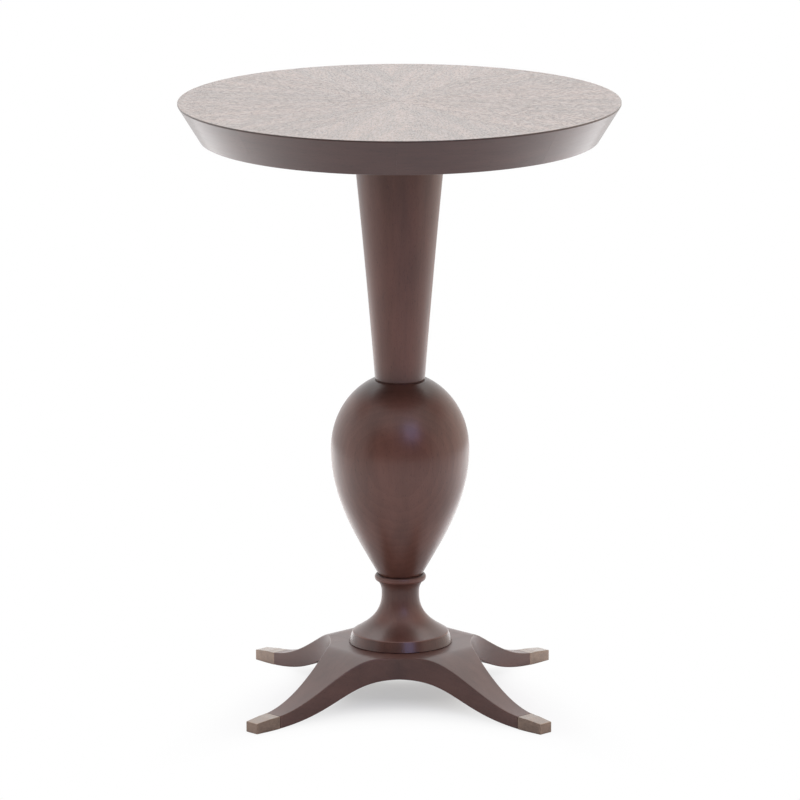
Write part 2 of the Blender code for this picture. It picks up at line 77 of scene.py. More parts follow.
def drawn_curve(start, start_pull, end_pull, end, steps=200):
    """Points of a smooth curve whose two ends are drawn out by their pulls."""
    start, end = Vector(start), Vector(end)
    return np.array(interpolate_bezier(start, start + Vector(start_pull), end + Vector(end_pull), end, steps))


leg_top_line = np.vstack([
    [(0.0, HUB_TOP)],
    drawn_curve((LEG_SHOULDER, HUB_TOP), (SHOULDER_PULL, 0.0), (-TOE_PULL, 0.0), TOE_HEEL),
    [(LEG_REACH, TOE_HEIGHT)],
])
leg_under_line = np.vstack([
    [(0.0, HUB_UNDER)],
    drawn_curve((ARCH_SPRING, HUB_UNDER), (ARCH_PULL, 0.0), (-SOLE_PULL, 0.0), (SOLE_START, 0.0)),
    [(LEG_REACH, 0.0)],
])
waist = Vector((math.cos(mitre), math.sin(mitre))) * HUB_WAIST
leg_side_line = drawn_curve(
    waist,
    Vector((math.sin(mitre), -math.cos(mitre))) * LEG_SIDE_PULL,
    (-FOOT_SIDE_PULL * math.cos(FOOT_SIDE_TAPER), FOOT_SIDE_PULL * math.sin(FOOT_SIDE_TAPER)),
    (LEG_REACH, FOOT_WIDTH / 2),
)


def leg_top(along):
    """Height of the leg's top at a distance from the table's axis."""
    return float(np.interp(along, leg_top_line[:, 0], leg_top_line[:, 1]))


def leg_under(along):
    """Height of the leg's underside at a distance from the table's axis."""
    return float(np.interp(along, leg_under_line[:, 0], leg_under_line[:, 1]))


def leg_side(along):
    """Half the leg's width at a distance from the table's axis."""
    return float(np.interp(along, leg_side_line[:, 0], leg_side_line[:, 1]))


def leg_shape(stations=90, arris_steps=4, recess_steps=24):
    """One leg along +X: mitred at the hub, recessed below for the plate, its arrises eased down each side."""
    shape = bmesh.new()
    turns = [math.pi / 2 * i / arris_steps for i in range(arris_steps + 1)]
    section = [(LEG_ARRIS * (1 - math.sin(a)), LEG_ARRIS * (1 - math.cos(a)), leg_top, -1) for a in turns]
    section += [(LEG_ARRIS * (1 - math.cos(a)), LEG_ARRIS * (1 - math.sin(a)), leg_under, 1) for a in turns]
    places = np.linspace(waist.x, CAP_JOINT, stations)
    slope = np.gradient([leg_side(s) for s in places], places)
    slope[0] = -1 / math.tan(mitre)
    flanks = {1: [], -1: []}
    spine = []
    for s, rise in zip(places, slope):
        inward = Vector((rise, -1.0)).normalized()
        at_joint = s == places[-1]
        for side, flank in flanks.items():
            row = []
            for inset, ease, level, sign in section:
                x = s if at_joint else s + inward.x * inset
                y = leg_side(s) + inward.y * inset
                row.append(shape.verts.new((x, side * y, level(x) + sign * ease)))
            flank.append(row)
        x = flanks[1][-1][0].co.x
        spine.append((shape.verts.new((x, 0.0, leg_top(x))), shape.verts.new((x, 0.0, leg_under(x)))))
    for flank in flanks.values():
        for near, far, (top, under), (far_top, far_under) in zip(flank, flank[1:], spine, spine[1:]):
            shape.faces.new((top, near[0], far[0], far_top))
            shape.faces.new((under, near[-1], far[-1], far_under))
            for i in range(len(section) - 1):
                shape.faces.new((near[i], near[i + 1], far[i + 1], far[i]))
    shape.faces.new([spine[-1][0], *flanks[1][-1], spine[-1][1], *flanks[-1][-1][::-1]])
    apex = shape.verts.new((0.0, 0.0, HUB_TOP))
    roof_level = HUB_UNDER + PLATE_RECESS_DEPTH
    roof = shape.verts.new((0.0, 0.0, roof_level))
    sweep = [mitre * (2 * i / recess_steps - 1) for i in range(recess_steps + 1)]
    recess = [(PLATE_RECESS_RADIUS * math.cos(a), PLATE_RECESS_RADIUS * math.sin(a)) for a in sweep]
    ledge = [shape.verts.new((x, y, HUB_UNDER)) for x, y in recess]
    wall = [shape.verts.new((x, y, roof_level)) for x, y in recess]
    first, second = flanks[1][0], flanks[-1][0]
    shape.faces.new((apex, first[0], spine[0][0], second[0]))
    shape.faces.new((*ledge, first[-1], spine[0][1], second[-1]))
    shape.faces.new((roof, *wall))
    for i in range(recess_steps):
        shape.faces.new((ledge[i], ledge[i + 1], wall[i + 1], wall[i]))
    shape.faces.new((apex, *first, ledge[-1], wall[-1], roof))
    shape.faces.new((apex, *second, ledge[0], wall[0], roof))
    return shape


def finished_mesh(name, shape, sharp=math.radians(35)):
    """Mesh of a shape with its faces outward, smooth but for its sharp edges."""
    bmesh.ops.recalc_face_normals(shape, faces=shape.faces)
    mesh = bpy.data.meshes.new(name)
    shape.to_mesh(mesh)
    shape.free()
    mesh.shade_smooth()
    mesh.set_sharp_from_angle(angle=sharp)
    return mesh


def lay_grain(mesh, board, fibre, worn=lambda p: 1.0, painted_light_and_tone=lambda p: 1.0, satin=lambda p: 1.0):
    """Keeps at each point its place in the board, along the fibre first and then across it two ways, how much
    it is worn, a factor that darkens or lightens its colour in places, mostly painted shade and painted
    highlights, and how dull the lacquer is. Keeps at each corner how far the fibre is cut across, from side
    grain at 0 to end grain at 1."""
    points = [v.co for v in mesh.vertices]
    grain = mesh.attributes.new("grain", "FLOAT_VECTOR", "POINT")
    grain.data.foreach_set("vector", np.array([board(p) for p in points], np.float32).ravel())
    for name, level in (("worn", worn), ("painted_light_and_tone", painted_light_and_tone), ("satin", satin)):
        mesh.attributes.new(name, "FLOAT", "POINT").data.foreach_set("value", [level(p) for p in points])
    end_grain = mesh.attributes.new("end_grain", "FLOAT", "CORNER")
    end_grain.data.foreach_set("value", [
        abs(normal.vector.dot(fibre(points[corner.vertex_index])))
        for normal, corner in zip(mesh.corner_normals, mesh.loops)])


def set_piece(name, mesh, material, nodes, turn=0.0):
    """Puts a finished piece on the table in place of its plain solids."""
    piece = bpy.data.objects.new(name, mesh)
    bpy.context.scene.collection.objects.link(piece)
    mesh.materials.append(material)
    mesh.transform(Matrix.Rotation(turn, 4, "Z"))
    even = piece.modifiers.new("even_shading", "WEIGHTED_NORMAL")
    even.keep_sharp = True
    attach(piece, "root")
    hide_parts(*nodes)


def add_node(tree, kind, inputs=None, **settings):
    """A shader node with its settings, its fixed inputs and its links."""
    made = tree.nodes.new(kind)
    for setting, value in settings.items():
        setattr(made, setting, value)
    for socket, value in (inputs or {}).items():
        if isinstance(value, bpy.types.NodeSocket):
            tree.links.new(value, made.inputs[socket])
        else:
            made.inputs[socket].default_value = value
    return made


def colour_stops(tree, amount, stops):
    """Colour that runs through a few stops as the amount goes from 0 to 1."""
    ramp = add_node(tree, "ShaderNodeValToRGB", {"Fac": amount})
    band = ramp.color_ramp
    while len(band.elements) < len(stops):
        band.elements.new(0.5)
    for element, (position, colour) in zip(band.elements, stops):
        element.position = position
        element.color = (*colour, 1.0)
    return ramp.outputs["Color"]


def scaled_noise(tree, place, stretch, detail=4.0, roughness=0.55):
    """Noise whose grain is stretched: cells per metre along the fibre and across it."""
    stretched = add_node(tree, "ShaderNodeVectorMath", {0: place, 1: stretch}, operation="MULTIPLY")
    noise = add_node(tree, "ShaderNodeTexNoise", {
        "Vector": stretched.outputs["Vector"], "Scale": 1.0, "Detail": detail, "Roughness": roughness,
    })
    return noise.outputs["Fac"]


def between(tree, amount, low, high, out_low=0.0, out_high=1.0):
    """The amount spread smoothly from one range to another, and held at its ends."""
    spread = add_node(tree, "ShaderNodeMapRange", {
        "Value": amount, "From Min": low, "From Max": high, "To Min": out_low, "To Max": out_high,
    }, interpolation_type="SMOOTHSTEP")
    return spread.outputs["Result"]


def worked(tree, operation, first, second=0.0):
    """One step of arithmetic on two amounts."""
    return add_node(tree, "ShaderNodeMath", {0: first, 1: second}, operation=operation).outputs["Value"]


NOISE_SPAN = (0.3, 0.7)
WAVE_LENGTH = 0.314
TRUNK_STRETCH = (0.15, 1.0, 1.0)
FIBRE_CELLS = (14.0, 620.0, 620.0)
CLOUD_CELLS = (9.0, 45.0, 45.0)
PORE_CELLS = (130.0, 1500.0, 1500.0)
PORE_SPAN = (0.60, 0.70)
FIBRE_SHARE = 0.20
CLOUD_SHARE = 0.80
FIGURE_SPAN = (0.25, 0.75)
ARRIS_SPAN = (0.515, 0.57)
ARRIS_RUB = 0.28
END_GRAIN_SPAN = (0.60, 0.85)
END_GRAIN_STAIN = 0.50
PORE_STAIN = 0.62
GLOSS_SWING = 0.02
FIBRE_RELIEF = 0.35
LACQUER_IOR = 1.5


def stained_walnut(name, pale, deep, layer_gap, heart, gloss, coat, growth=0.04):
    """Walnut under dark stain and lacquer: growth layers, fibre, open pores and arrises rubbed paler.
    The heart is how far the middle of the tree lies from the piece, across the fibre two ways."""
    material = bpy.data.materials.new(name)
    material.use_nodes = True
    tree = material.node_tree
    shader = tree.nodes["Principled BSDF"]
    board = add_node(tree, "ShaderNodeAttribute", attribute_name="grain").outputs["Vector"]
    off_heart = add_node(tree, "ShaderNodeVectorMath", {0: board, 1: (0.0, *heart)}, operation="ADD")
    along_tree = add_node(tree, "ShaderNodeVectorMath", {
        0: off_heart.outputs["Vector"], 1: TRUNK_STRETCH}, operation="MULTIPLY")
    layers = add_node(tree, "ShaderNodeTexWave", {
        "Vector": along_tree.outputs["Vector"], "Scale": WAVE_LENGTH / layer_gap, "Distortion": 3.5,
        "Detail": 3.0, "Detail Scale": 0.35, "Detail Roughness": 0.6,
    }, wave_type="RINGS", rings_direction="X", wave_profile="SAW").outputs["Fac"]
    fibre = scaled_noise(tree, board, FIBRE_CELLS)
    cloud = scaled_noise(tree, board, CLOUD_CELLS, detail=2.0)
    pores = between(tree, scaled_noise(tree, board, PORE_CELLS, detail=2.0), *PORE_SPAN)
    figure = worked(tree, "MULTIPLY", layers, growth)
    figure = worked(tree, "ADD", figure, worked(tree, "MULTIPLY", fibre, FIBRE_SHARE))
    figure = worked(tree, "ADD", figure, worked(tree, "MULTIPLY", cloud, CLOUD_SHARE - growth))
    edges = add_node(tree, "ShaderNodeNewGeometry").outputs["Pointiness"]
    handled = add_node(tree, "ShaderNodeAttribute", attribute_name="worn").outputs["Fac"]
    rubbed = worked(tree, "MULTIPLY", between(tree, edges, *ARRIS_SPAN, 0.0, ARRIS_RUB), handled)
    tone = worked(tree, "ADD", between(tree, figure, *FIGURE_SPAN), rubbed)
    middle = tuple((a + b) / 2 for a, b in zip(pale, deep))
    wood = colour_stops(tree, tone, [(0.0, deep), (0.5, middle), (1.0, pale)])
    across = add_node(tree, "ShaderNodeAttribute", attribute_name="end_grain").outputs["Fac"]
    # Painted light: each piece's own factor darkens or lightens the stained colour in places, as painted
    # shade and painted highlights.
    painted_light_and_tone = add_node(tree, "ShaderNodeAttribute", attribute_name="painted_light_and_tone").outputs["Fac"]
    stain_and_painted_light = worked(tree, "MULTIPLY", between(tree, across, *END_GRAIN_SPAN, 1.0, END_GRAIN_STAIN), painted_light_and_tone)
    stain_and_painted_light = worked(tree, "MULTIPLY", stain_and_painted_light, between(tree, pores, 0.0, 1.0, 1.0, PORE_STAIN))
    stain = add_node(tree, "ShaderNodeVectorMath", {0: wood, "Scale": stain_and_painted_light}, operation="SCALE")
    tree.links.new(stain.outputs["Vector"], shader.inputs["Base Color"])
    satin = add_node(tree, "ShaderNodeAttribute", attribute_name="satin").outputs["Fac"]
    dulled = between(tree, fibre, *NOISE_SPAN, gloss - GLOSS_SWING, gloss + GLOSS_SWING)
    tree.links.new(worked(tree, "MULTIPLY", dulled, satin), shader.inputs["Roughness"])
    relief = worked(tree, "SUBTRACT", worked(tree, "MULTIPLY", fibre, FIBRE_RELIEF), pores)
    bump = add_node(tree, "ShaderNodeBump", {"Height": relief, "Strength": 0.06, "Distance": 0.0002})
    tree.links.new(bump.outputs["Normal"], shader.inputs["Normal"])
    shader.inputs["Coat Weight"].default_value = coat
    shader.inputs["Coat Roughness"].default_value = 0.22
    shader.inputs["Coat IOR"].default_value = LACQUER_IOR
    return material


leg_walnut = stained_walnut(
    "leg_walnut",
    pale=(0.107, 0.0452, 0.0342),
    deep=(0.070, 0.0272, 0.0203),
    layer_gap=0.0045,
    heart=(0.11, 0.05),
    gloss=0.40,
    coat=0.15,
)
for i in range(LEG_COUNT):
    name = f"leg_{i + 1}"
    leg = finished_mesh(f"{name}_walnut", leg_shape())
    lay_grain(
        leg,
        lambda p, shift=LEG_BOARD_STEP * i: (p.x + shift, p.y, p.z),
        lambda p: lengthwise,
        worn=lambda p: min(1.0, max(0.0, (p.x - waist.x) / MITRE_GUARD)),
    )
    set_piece(f"{name}_walnut", leg, leg_walnut, [name], mitre * (2 * i + 1))

# Toe caps
# A cast bronze cap slips over a tenon on the end of each leg, flush with the wood, and is pinned from below.
# The metal is darkened to an antique brown, brushed along its length and rubbed bright at its edges.
CAP_GAP = 0.00012
CAP_ARRIS = 0.0007
CAP_BAR_STEP = 0.29
CAP_EDGE_ANGLE = math.radians(45)


def cap_shape(stations=12):
    """One cap along +X, from the joint to the toe, following the leg's lines."""
    shape = bmesh.new()
    start = CAP_JOINT + CAP_GAP
    places = sorted([*np.linspace(start, LEG_REACH, stations), TOE_HEEL[0], SOLE_START])
    rings = []
    for s in places:
        half = leg_side(s)
        top, under = leg_top(s), leg_under(s)
        corners = ((half, top), (-half, top), (-half, under), (half, under))
        rings.append([shape.verts.new((s, y, z)) for y, z in corners])
    for near, far in zip(rings, rings[1:]):
        for i in range(len(corners)):
            shape.faces.new((near[i - 1], near[i], far[i], far[i - 1]))
    shape.faces.new(rings[0])
    shape.faces.new(rings[-1])
    bmesh.ops.recalc_face_normals(shape, faces=shape.faces)
    edges = [e for e in shape.edges if e.calc_face_angle() > CAP_EDGE_ANGLE]
    bmesh.ops.bevel(shape, geom=edges, offset=CAP_ARRIS, segments=3, profile=0.5, affect="EDGES")
    return shape


BRUSH_CELLS = (60.0, 2600.0, 2600.0)
PATINA_CELLS = (160.0, 160.0, 160.0)
BRUSH_SHARE = 0.4
PATINA_SHARE = 0.6
PATINA_TONES = (0.1, 0.5)
CAP_EDGE_SPAN = (0.52, 0.60)
CAP_EDGE_RUB = 0.5
BRIGHT_STOP = 0.6
CAP_GLOSS = (0.36, 0.52)


def antique_bronze(name, rubbed_bright, bright, dark):
    """Bronze darkened by a patina, brushed along the toe, with brighter metal at the arrises."""
    material = bpy.data.materials.new(name)
    material.use_nodes = True
    tree = material.node_tree
    shader = tree.nodes["Principled BSDF"]
    place = add_node(tree, "ShaderNodeAttribute", attribute_name="grain").outputs["Vector"]
    brushed = scaled_noise(tree, place, BRUSH_CELLS, detail=3.0)
    patina = scaled_noise(tree, place, PATINA_CELLS, detail=5.0)
    edges = add_node(tree, "ShaderNodeNewGeometry").outputs["Pointiness"]
    rubbed = worked(tree, "MULTIPLY", between(tree, edges, *CAP_EDGE_SPAN), CAP_EDGE_RUB)
    tone = worked(tree, "MULTIPLY", brushed, BRUSH_SHARE)
    tone = worked(tree, "ADD", tone, worked(tree, "MULTIPLY", patina, PATINA_SHARE))
    tone = worked(tree, "ADD", between(tree, tone, *NOISE_SPAN, *PATINA_TONES), rubbed)
    metal = colour_stops(tree, tone, [(0.0, dark), (BRIGHT_STOP, bright), (1.0, rubbed_bright)])
    tree.links.new(metal, shader.inputs["Base Color"])
    tree.links.new(between(tree, patina, *NOISE_SPAN, *CAP_GLOSS), shader.inputs["Roughness"])
    bump = add_node(tree, "ShaderNodeBump", {"Height": brushed, "Strength": 0.10, "Distance": 0.0001})
    tree.links.new(bump.outputs["Normal"], shader.inputs["Normal"])
    shader.inputs["Metallic"].default_value = 0.75
    shader.inputs["Coat Weight"].default_value = 0.8
    shader.inputs["Coat Roughness"].default_value = 0.25
    shader.inputs["Coat IOR"].default_value = LACQUER_IOR
    return material


cap_bronze = antique_bronze(
    "cap_bronze",
    rubbed_bright=(0.56, 0.43, 0.334),
    bright=(0.275, 0.188, 0.137),
    dark=(0.113, 0.074, 0.053),
)
for i in range(LEG_COUNT):
    name = f"toe_cap_{i + 1}"
    cap = finished_mesh(f"{name}_bronze", cap_shape())
    lay_grain(cap, lambda p, shift=CAP_BAR_STEP * i: (p.x + shift, p.y, p.z), lambda p: lengthwise)
    set_piece(f"{name}_bronze", cap, cap_bronze, [name], mitre * (2 * i + 1))

# Hub plate, screws and pins
# A round steel plate let into the underside of the hub ties the legs together, with one countersunk screw
# into each. A pin holds each toe cap. All are plain zinc plated fixings, left as they come.
SPANGLE_CELLS = (420.0, 420.0, 420.0)
SCRATCH_CELLS = (90.0, 2400.0, 700.0)
ZINC_GLOSS = (0.28, 0.46)


def zinc_plate(name, bright, dull):
    """Zinc plate: a fine spangle with dull patches and hair scratches."""
    material = bpy.data.materials.new(name)
    material.use_nodes = True
    tree = material.node_tree
    shader = tree.nodes["Principled BSDF"]
    place = add_node(tree, "ShaderNodeTexCoord").outputs["Object"]
    spangle = scaled_noise(tree, place, SPANGLE_CELLS, detail=3.0)
    scratches = scaled_noise(tree, place, SCRATCH_CELLS, detail=2.0)
    zinc = colour_stops(tree, spangle, list(zip(NOISE_SPAN, (dull, bright))))
    tree.links.new(zinc, shader.inputs["Base Color"])
    tree.links.new(between(tree, spangle, *NOISE_SPAN, *ZINC_GLOSS), shader.inputs["Roughness"])
    bump = add_node(tree, "ShaderNodeBump", {"Height": scratches, "Strength": 0.08, "Distance": 0.0001})
    tree.links.new(bump.outputs["Normal"], shader.inputs["Normal"])
    shader.inputs["Metallic"].default_value = 1.0
    return material


def dress_nodes(names, material):
    """Gives solids that are shown as they are their finish."""
    for name in names:
        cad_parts[name].material_slots[0].material = material


fixing_zinc = zinc_plate("fixing_zinc", bright=(0.62, 0.62, 0.63), dull=(0.42, 0.42, 0.43))
dress_nodes(["hub_plate"], fixing_zinc)
dress_nodes([f"plate_screw_{i + 1}" for i in range(LEG_COUNT)], fixing_zinc)
dress_nodes([f"toe_cap_pin_{i + 1}" for i in range(LEG_COUNT)], fixing_zinc)

# Mitre tongues
# A loose tongue of birch ply is glued into a groove across each mitre, to keep the legs in line.
# It lies inside the hub, left raw, and isn't seen.
TIMBER_CLOUD_CELLS = (22.0, 22.0, 22.0)
TIMBER_FIBRE_SHARE = 0.7
TIMBER_CLOUD_SHARE = 0.3
TIMBER_GLOSS = (0.66, 0.82)


def plain_timber(name, pale, deep, fibre_cells):
    """Wood or board with a plain fibre, dull all over."""
    material = bpy.data.materials.new(name)
    material.use_nodes = True
    tree = material.node_tree
    shader = tree.nodes["Principled BSDF"]
    place = add_node(tree, "ShaderNodeTexCoord").outputs["Object"]
    fibre = scaled_noise(tree, place, fibre_cells, detail=5.0)
    cloud = scaled_noise(tree, place, TIMBER_CLOUD_CELLS, detail=2.0)
    tone = worked(tree, "MULTIPLY", fibre, TIMBER_FIBRE_SHARE)
    tone = worked(tree, "ADD", tone, worked(tree, "MULTIPLY", cloud, TIMBER_CLOUD_SHARE))
    wood = colour_stops(tree, tone, list(zip(NOISE_SPAN, (deep, pale))))
    tree.links.new(wood, shader.inputs["Base Color"])
    tree.links.new(between(tree, fibre, *NOISE_SPAN, *TIMBER_GLOSS), shader.inputs["Roughness"])
    bump = add_node(tree, "ShaderNodeBump", {"Height": fibre, "Strength": 0.2, "Distance": 0.0003})
    tree.links.new(bump.outputs["Normal"], shader.inputs["Normal"])
    return material


tongue_ply = plain_timber(
    "tongue_ply",
    pale=(0.56, 0.42, 0.26),
    deep=(0.40, 0.28, 0.16),
    fibre_cells=(40.0, 900.0, 2200.0),
)
dress_nodes([f"mitre_tongue_{i + 1}" for i in range(LEG_COUNT)], tongue_ply)

# Neck and plinth
# One turned piece of walnut: a half-round bead under the urn, a hollow neck, a flare and a bevelled plinth
# that stands on the hub, tenoned into it. It is stained and lacquered like the legs, with painted shade in
# the hollow and on the plinth's band, and painted highlights on the flare's lower part and on the bead.
NECK_TOP = 0.1466
BEAD_ROOT = 0.0263
BEAD_DEPTH = 0.0035
BEAD_HEIGHT = 0.0080
NECK_RADIUS = 0.0217
NECK_WAIST_DROP = 0.0240
COVE_PULL = 0.007
COVE_ANGLE = math.radians(37)
FLARE_PULL = 0.026
FLARE_EDGE_PULL = 0.016
FLARE_EDGE_ANGLE = math.radians(31)
PLINTH_RADIUS = 0.0600
PLINTH_HEIGHT = 0.0126
PLINTH_BEVEL = 0.0044
PLINTH_EASE = 0.0009
PLINTH_ARRIS = 0.0007
PLINTH_GAP = 0.0001
# Painted light on the neck's colour, by height: painted shade on the plinth's band and in the hollow, painted
# highlights on the flare's lower part and on the bead.
PLINTH_PAINTED_SHADE = 0.66
FLARE_PAINTED_HIGHLIGHT = 1.45
COVE_PAINTED_SHADE = 0.76
BEAD_PAINTED_HIGHLIGHT = 1.15
BEAD_TOP_PAINTED_LIGHT = 0.90
BEAD_HIGHLIGHT_BAND = (0.95, 0.55)
PLINTH_SATIN = 0.70
FLARE_SATIN = 0.95
COVE_SATIN = 1.30
plinth_seat = HUB_TOP + PLINTH_GAP
upright = Vector((0.0, 0.0, 1.0))


def turned_shape(profile, sides=160):
    """A solid turned about the table's axis from a profile that runs from its top to its foot."""
    shape = bmesh.new()
    turns = [2 * math.pi * i / sides for i in range(sides)]
    rings = []
    for radius, level in profile:
        rings.append([shape.verts.new((radius * math.cos(a), radius * math.sin(a), level)) for a in turns])
    for near, far in zip(rings, rings[1:]):
        for i in range(sides):
            shape.faces.new((near[i - 1], near[i], far[i], far[i - 1]))
    shape.faces.new(rings[0])
    shape.faces.new(rings[-1])
    return shape


def eased_corner(before, corner, after, radius, steps=4):
    """Points that ease the corner between two straight lines."""
    before, corner, after = Vector(before), Vector(corner), Vector(after)
    start = corner + (before - corner).normalized() * radius
    end = corner + (after - corner).normalized() * radius
    return [start.lerp(corner, t).lerp(corner.lerp(end, t), t) for t in np.linspace(0.0, 1.0, steps + 1)]


def bead_line(steps=14):
    """Half-round bead from its top face down."""
    middle = NECK_TOP - BEAD_HEIGHT / 2
    turns = [math.pi * i / steps for i in range(steps + 1)]
    return [(BEAD_ROOT + BEAD_DEPTH * math.sin(a), middle + BEAD_HEIGHT / 2 * math.cos(a)) for a in turns]


neck_waist = (NECK_RADIUS, NECK_TOP - NECK_WAIST_DROP)
flare_edge = (PLINTH_RADIUS - PLINTH_BEVEL, plinth_seat + PLINTH_HEIGHT)
cove_line = drawn_curve(
    (BEAD_ROOT, NECK_TOP - BEAD_HEIGHT),
    (-COVE_PULL * math.sin(COVE_ANGLE), -COVE_PULL * math.cos(COVE_ANGLE)),
    (0.0, COVE_PULL),
    neck_waist,
    steps=14,
)
flare_line = drawn_curve(
    neck_waist,
    (0.0, -FLARE_PULL),
    (-FLARE_EDGE_PULL * math.cos(FLARE_EDGE_ANGLE), FLARE_EDGE_PULL * math.sin(FLARE_EDGE_ANGLE)),
    flare_edge,
    steps=32,
)
plinth_foot = (PLINTH_RADIUS, plinth_seat + PLINTH_ARRIS)
plinth_line = [
    *eased_corner(flare_line[-2], flare_edge, plinth_foot, PLINTH_EASE),
    plinth_foot,
    (PLINTH_RADIUS - PLINTH_ARRIS, plinth_seat),
]
neck = finished_mesh("neck_and_plinth_walnut", turned_shape(
    [*bead_line()[:-1], *cove_line[:-1], *flare_line[:-1], *plinth_line]))
mid_flare = (flare_edge[1] + neck_waist[1]) / 2
# Painted shade and painted highlights up the neck, as factors on its colour.
painted_light_levels = np.array([
    (flare_edge[1] - PLINTH_EASE, PLINTH_PAINTED_SHADE),
    (flare_edge[1], FLARE_PAINTED_HIGHLIGHT),
    (mid_flare, 1.0),
    (neck_waist[1], COVE_PAINTED_SHADE),
    (NECK_TOP - BEAD_HEIGHT, COVE_PAINTED_SHADE),
    *[(NECK_TOP - BEAD_HEIGHT * share, BEAD_PAINTED_HIGHLIGHT) for share in BEAD_HIGHLIGHT_BAND],
    (NECK_TOP, BEAD_TOP_PAINTED_LIGHT),
])
satin_levels = np.array([
    (flare_edge[1] - PLINTH_EASE, PLINTH_SATIN),
    (flare_edge[1], FLARE_SATIN),
    (mid_flare, COVE_SATIN),
])
lay_grain(
    neck,
    lambda p: (p.z, p.x, p.y),
    lambda p: upright,
    worn=lambda p: 0.0,
    painted_light_and_tone=lambda p: float(np.interp(p.z, painted_light_levels[:, 0], painted_light_levels[:, 1])),
    satin=lambda p: float(np.interp(p.z, satin_levels[:, 0], satin_levels[:, 1])),
)
neck_walnut = stained_walnut(
    "neck_walnut",
    pale=(0.152, 0.0610, 0.0440),
    deep=(0.100, 0.0380, 0.0270),
    layer_gap=0.0045,
    heart=(0.09, 0.06),
    gloss=0.36,
    coat=0.15,
)
set_piece("neck_and_plinth_walnut", neck, neck_walnut, ["neck_and_plinth"])

# Urn
# Turned from one block of walnut: a round shoulder drawn in to a slim foot, tenoned into the neck below and
# bored above for the column's tenon. It is stained and lacquered, shows the block's growth layers, and is
# darker towards the foot.
URN_TOP = 0.3776
URN_FOOT = 0.1468
URN_RADIUS = 0.0801
URN_BELLY = 0.2953
URN_SEAT_RADIUS = 0.0303
URN_FOOT_RADIUS = 0.0258
URN_FOOT_ANGLE = math.radians(28.9)
URN_BELLY_PULL = 0.0620
URN_FOOT_PULL = 0.0447
# The colour darkens towards the urn's foot.
URN_FOOT_DARKENING = 0.84
URN_FOOT_DARKENING_HEIGHT = 0.050


def shoulder_line(steps=36):
    """Round shoulder from the column's seat down to the belly."""
    start = math.asin(URN_SEAT_RADIUS / URN_RADIUS)
    rise = (URN_TOP - URN_BELLY) / math.cos(start)
    turns = [start + (math.pi / 2 - start) * i / steps for i in range(steps + 1)]
    return [(URN_RADIUS * math.sin(a), URN_BELLY + rise * math.cos(a)) for a in turns]


flank_line = drawn_curve(
    (URN_RADIUS, URN_BELLY),
    (0.0, -URN_BELLY_PULL),
    (URN_FOOT_PULL * math.sin(URN_FOOT_ANGLE), URN_FOOT_PULL * math.cos(URN_FOOT_ANGLE)),
    (URN_FOOT_RADIUS, URN_FOOT),
    steps=44,
)
urn = finished_mesh("urn_walnut", turned_shape([*shoulder_line()[:-1], *flank_line]))
lay_grain(
    urn,
    lambda p: (p.z, p.x, p.y),
    lambda p: upright,
    painted_light_and_tone=lambda p: float(np.interp(p.z - URN_FOOT, (0.0, URN_FOOT_DARKENING_HEIGHT), (URN_FOOT_DARKENING, 1.0))),
)
urn_walnut = stained_walnut(
    "urn_walnut",
    pale=(0.146, 0.0570, 0.0396),
    deep=(0.096, 0.0360, 0.0245),
    layer_gap=0.0050,
    heart=(-0.004, -0.110),
    gloss=0.34,
    coat=0.15,
    growth=0.10,
)
set_piece("urn_walnut", urn, urn_walnut, ["urn"])

# Column
# A turned walnut column, slightly hollow in its taper, with its widest end under the top. Its lower edge is
# eased where it stands on the urn, and a tenon at each end centres it. The colour is darker at the foot,
# painted shade where the urn's shoulder keeps light from it.
COLUMN_HEAD = 0.6595
COLUMN_HEAD_RADIUS = 0.0541
COLUMN_FOOT_RADIUS = 0.0288
COLUMN_BOW = 0.0009
COLUMN_ARRIS = 0.0001
# Painted shade at the column's foot, where the urn's shoulder keeps light from it.
COLUMN_FOOT_PAINTED_SHADE = 0.66
COLUMN_FOOT_PAINTED_SHADE_HEIGHT = 0.020


def column_line(steps=24, arris_steps=4):
    """Outer side of the column from its head to its foot, with the foot's edge eased."""
    line = []
    for down in np.linspace(0.0, 1.0, steps + 1)[:-1]:
        bow = 4 * COLUMN_BOW * down * (1 - down)
        radius = COLUMN_HEAD_RADIUS + (COLUMN_FOOT_RADIUS - COLUMN_HEAD_RADIUS) * down - bow
        line.append((radius, COLUMN_HEAD + (URN_TOP + COLUMN_ARRIS - COLUMN_HEAD) * down))
    for a in np.linspace(0.0, math.pi / 2, arris_steps + 1):
        radius = COLUMN_FOOT_RADIUS - COLUMN_ARRIS * (1 - math.cos(a))
        line.append((radius, URN_TOP + COLUMN_ARRIS * (1 - math.sin(a))))
    return line


column = finished_mesh("column_walnut", turned_shape(column_line()))
lay_grain(
    column,
    lambda p: (p.z, p.x, p.y),
    lambda p: upright,
    painted_light_and_tone=lambda p: float(
        np.interp(p.z - URN_TOP, (0.0, COLUMN_FOOT_PAINTED_SHADE_HEIGHT), (COLUMN_FOOT_PAINTED_SHADE, 1.0))),
)
column_walnut = stained_walnut(
    "column_walnut",
    pale=(0.149, 0.0563, 0.0392),
    deep=(0.099, 0.0365, 0.0250),
    layer_gap=0.0045,
    heart=(0.07, 0.09),
    gloss=0.38,
    coat=0.15,
)
set_piece("column_walnut", column, column_walnut, ["column"])

# Tie rod
# A plain steel rod runs from the mounting block down through the column, urn, neck and hub, and a nut and
# washer at each end pull them together. Only its lower end shows, under the base.
dress_nodes(["tie_rod", "upper_nut", "upper_washer", "lower_nut", "lower_washer"], fixing_zinc)

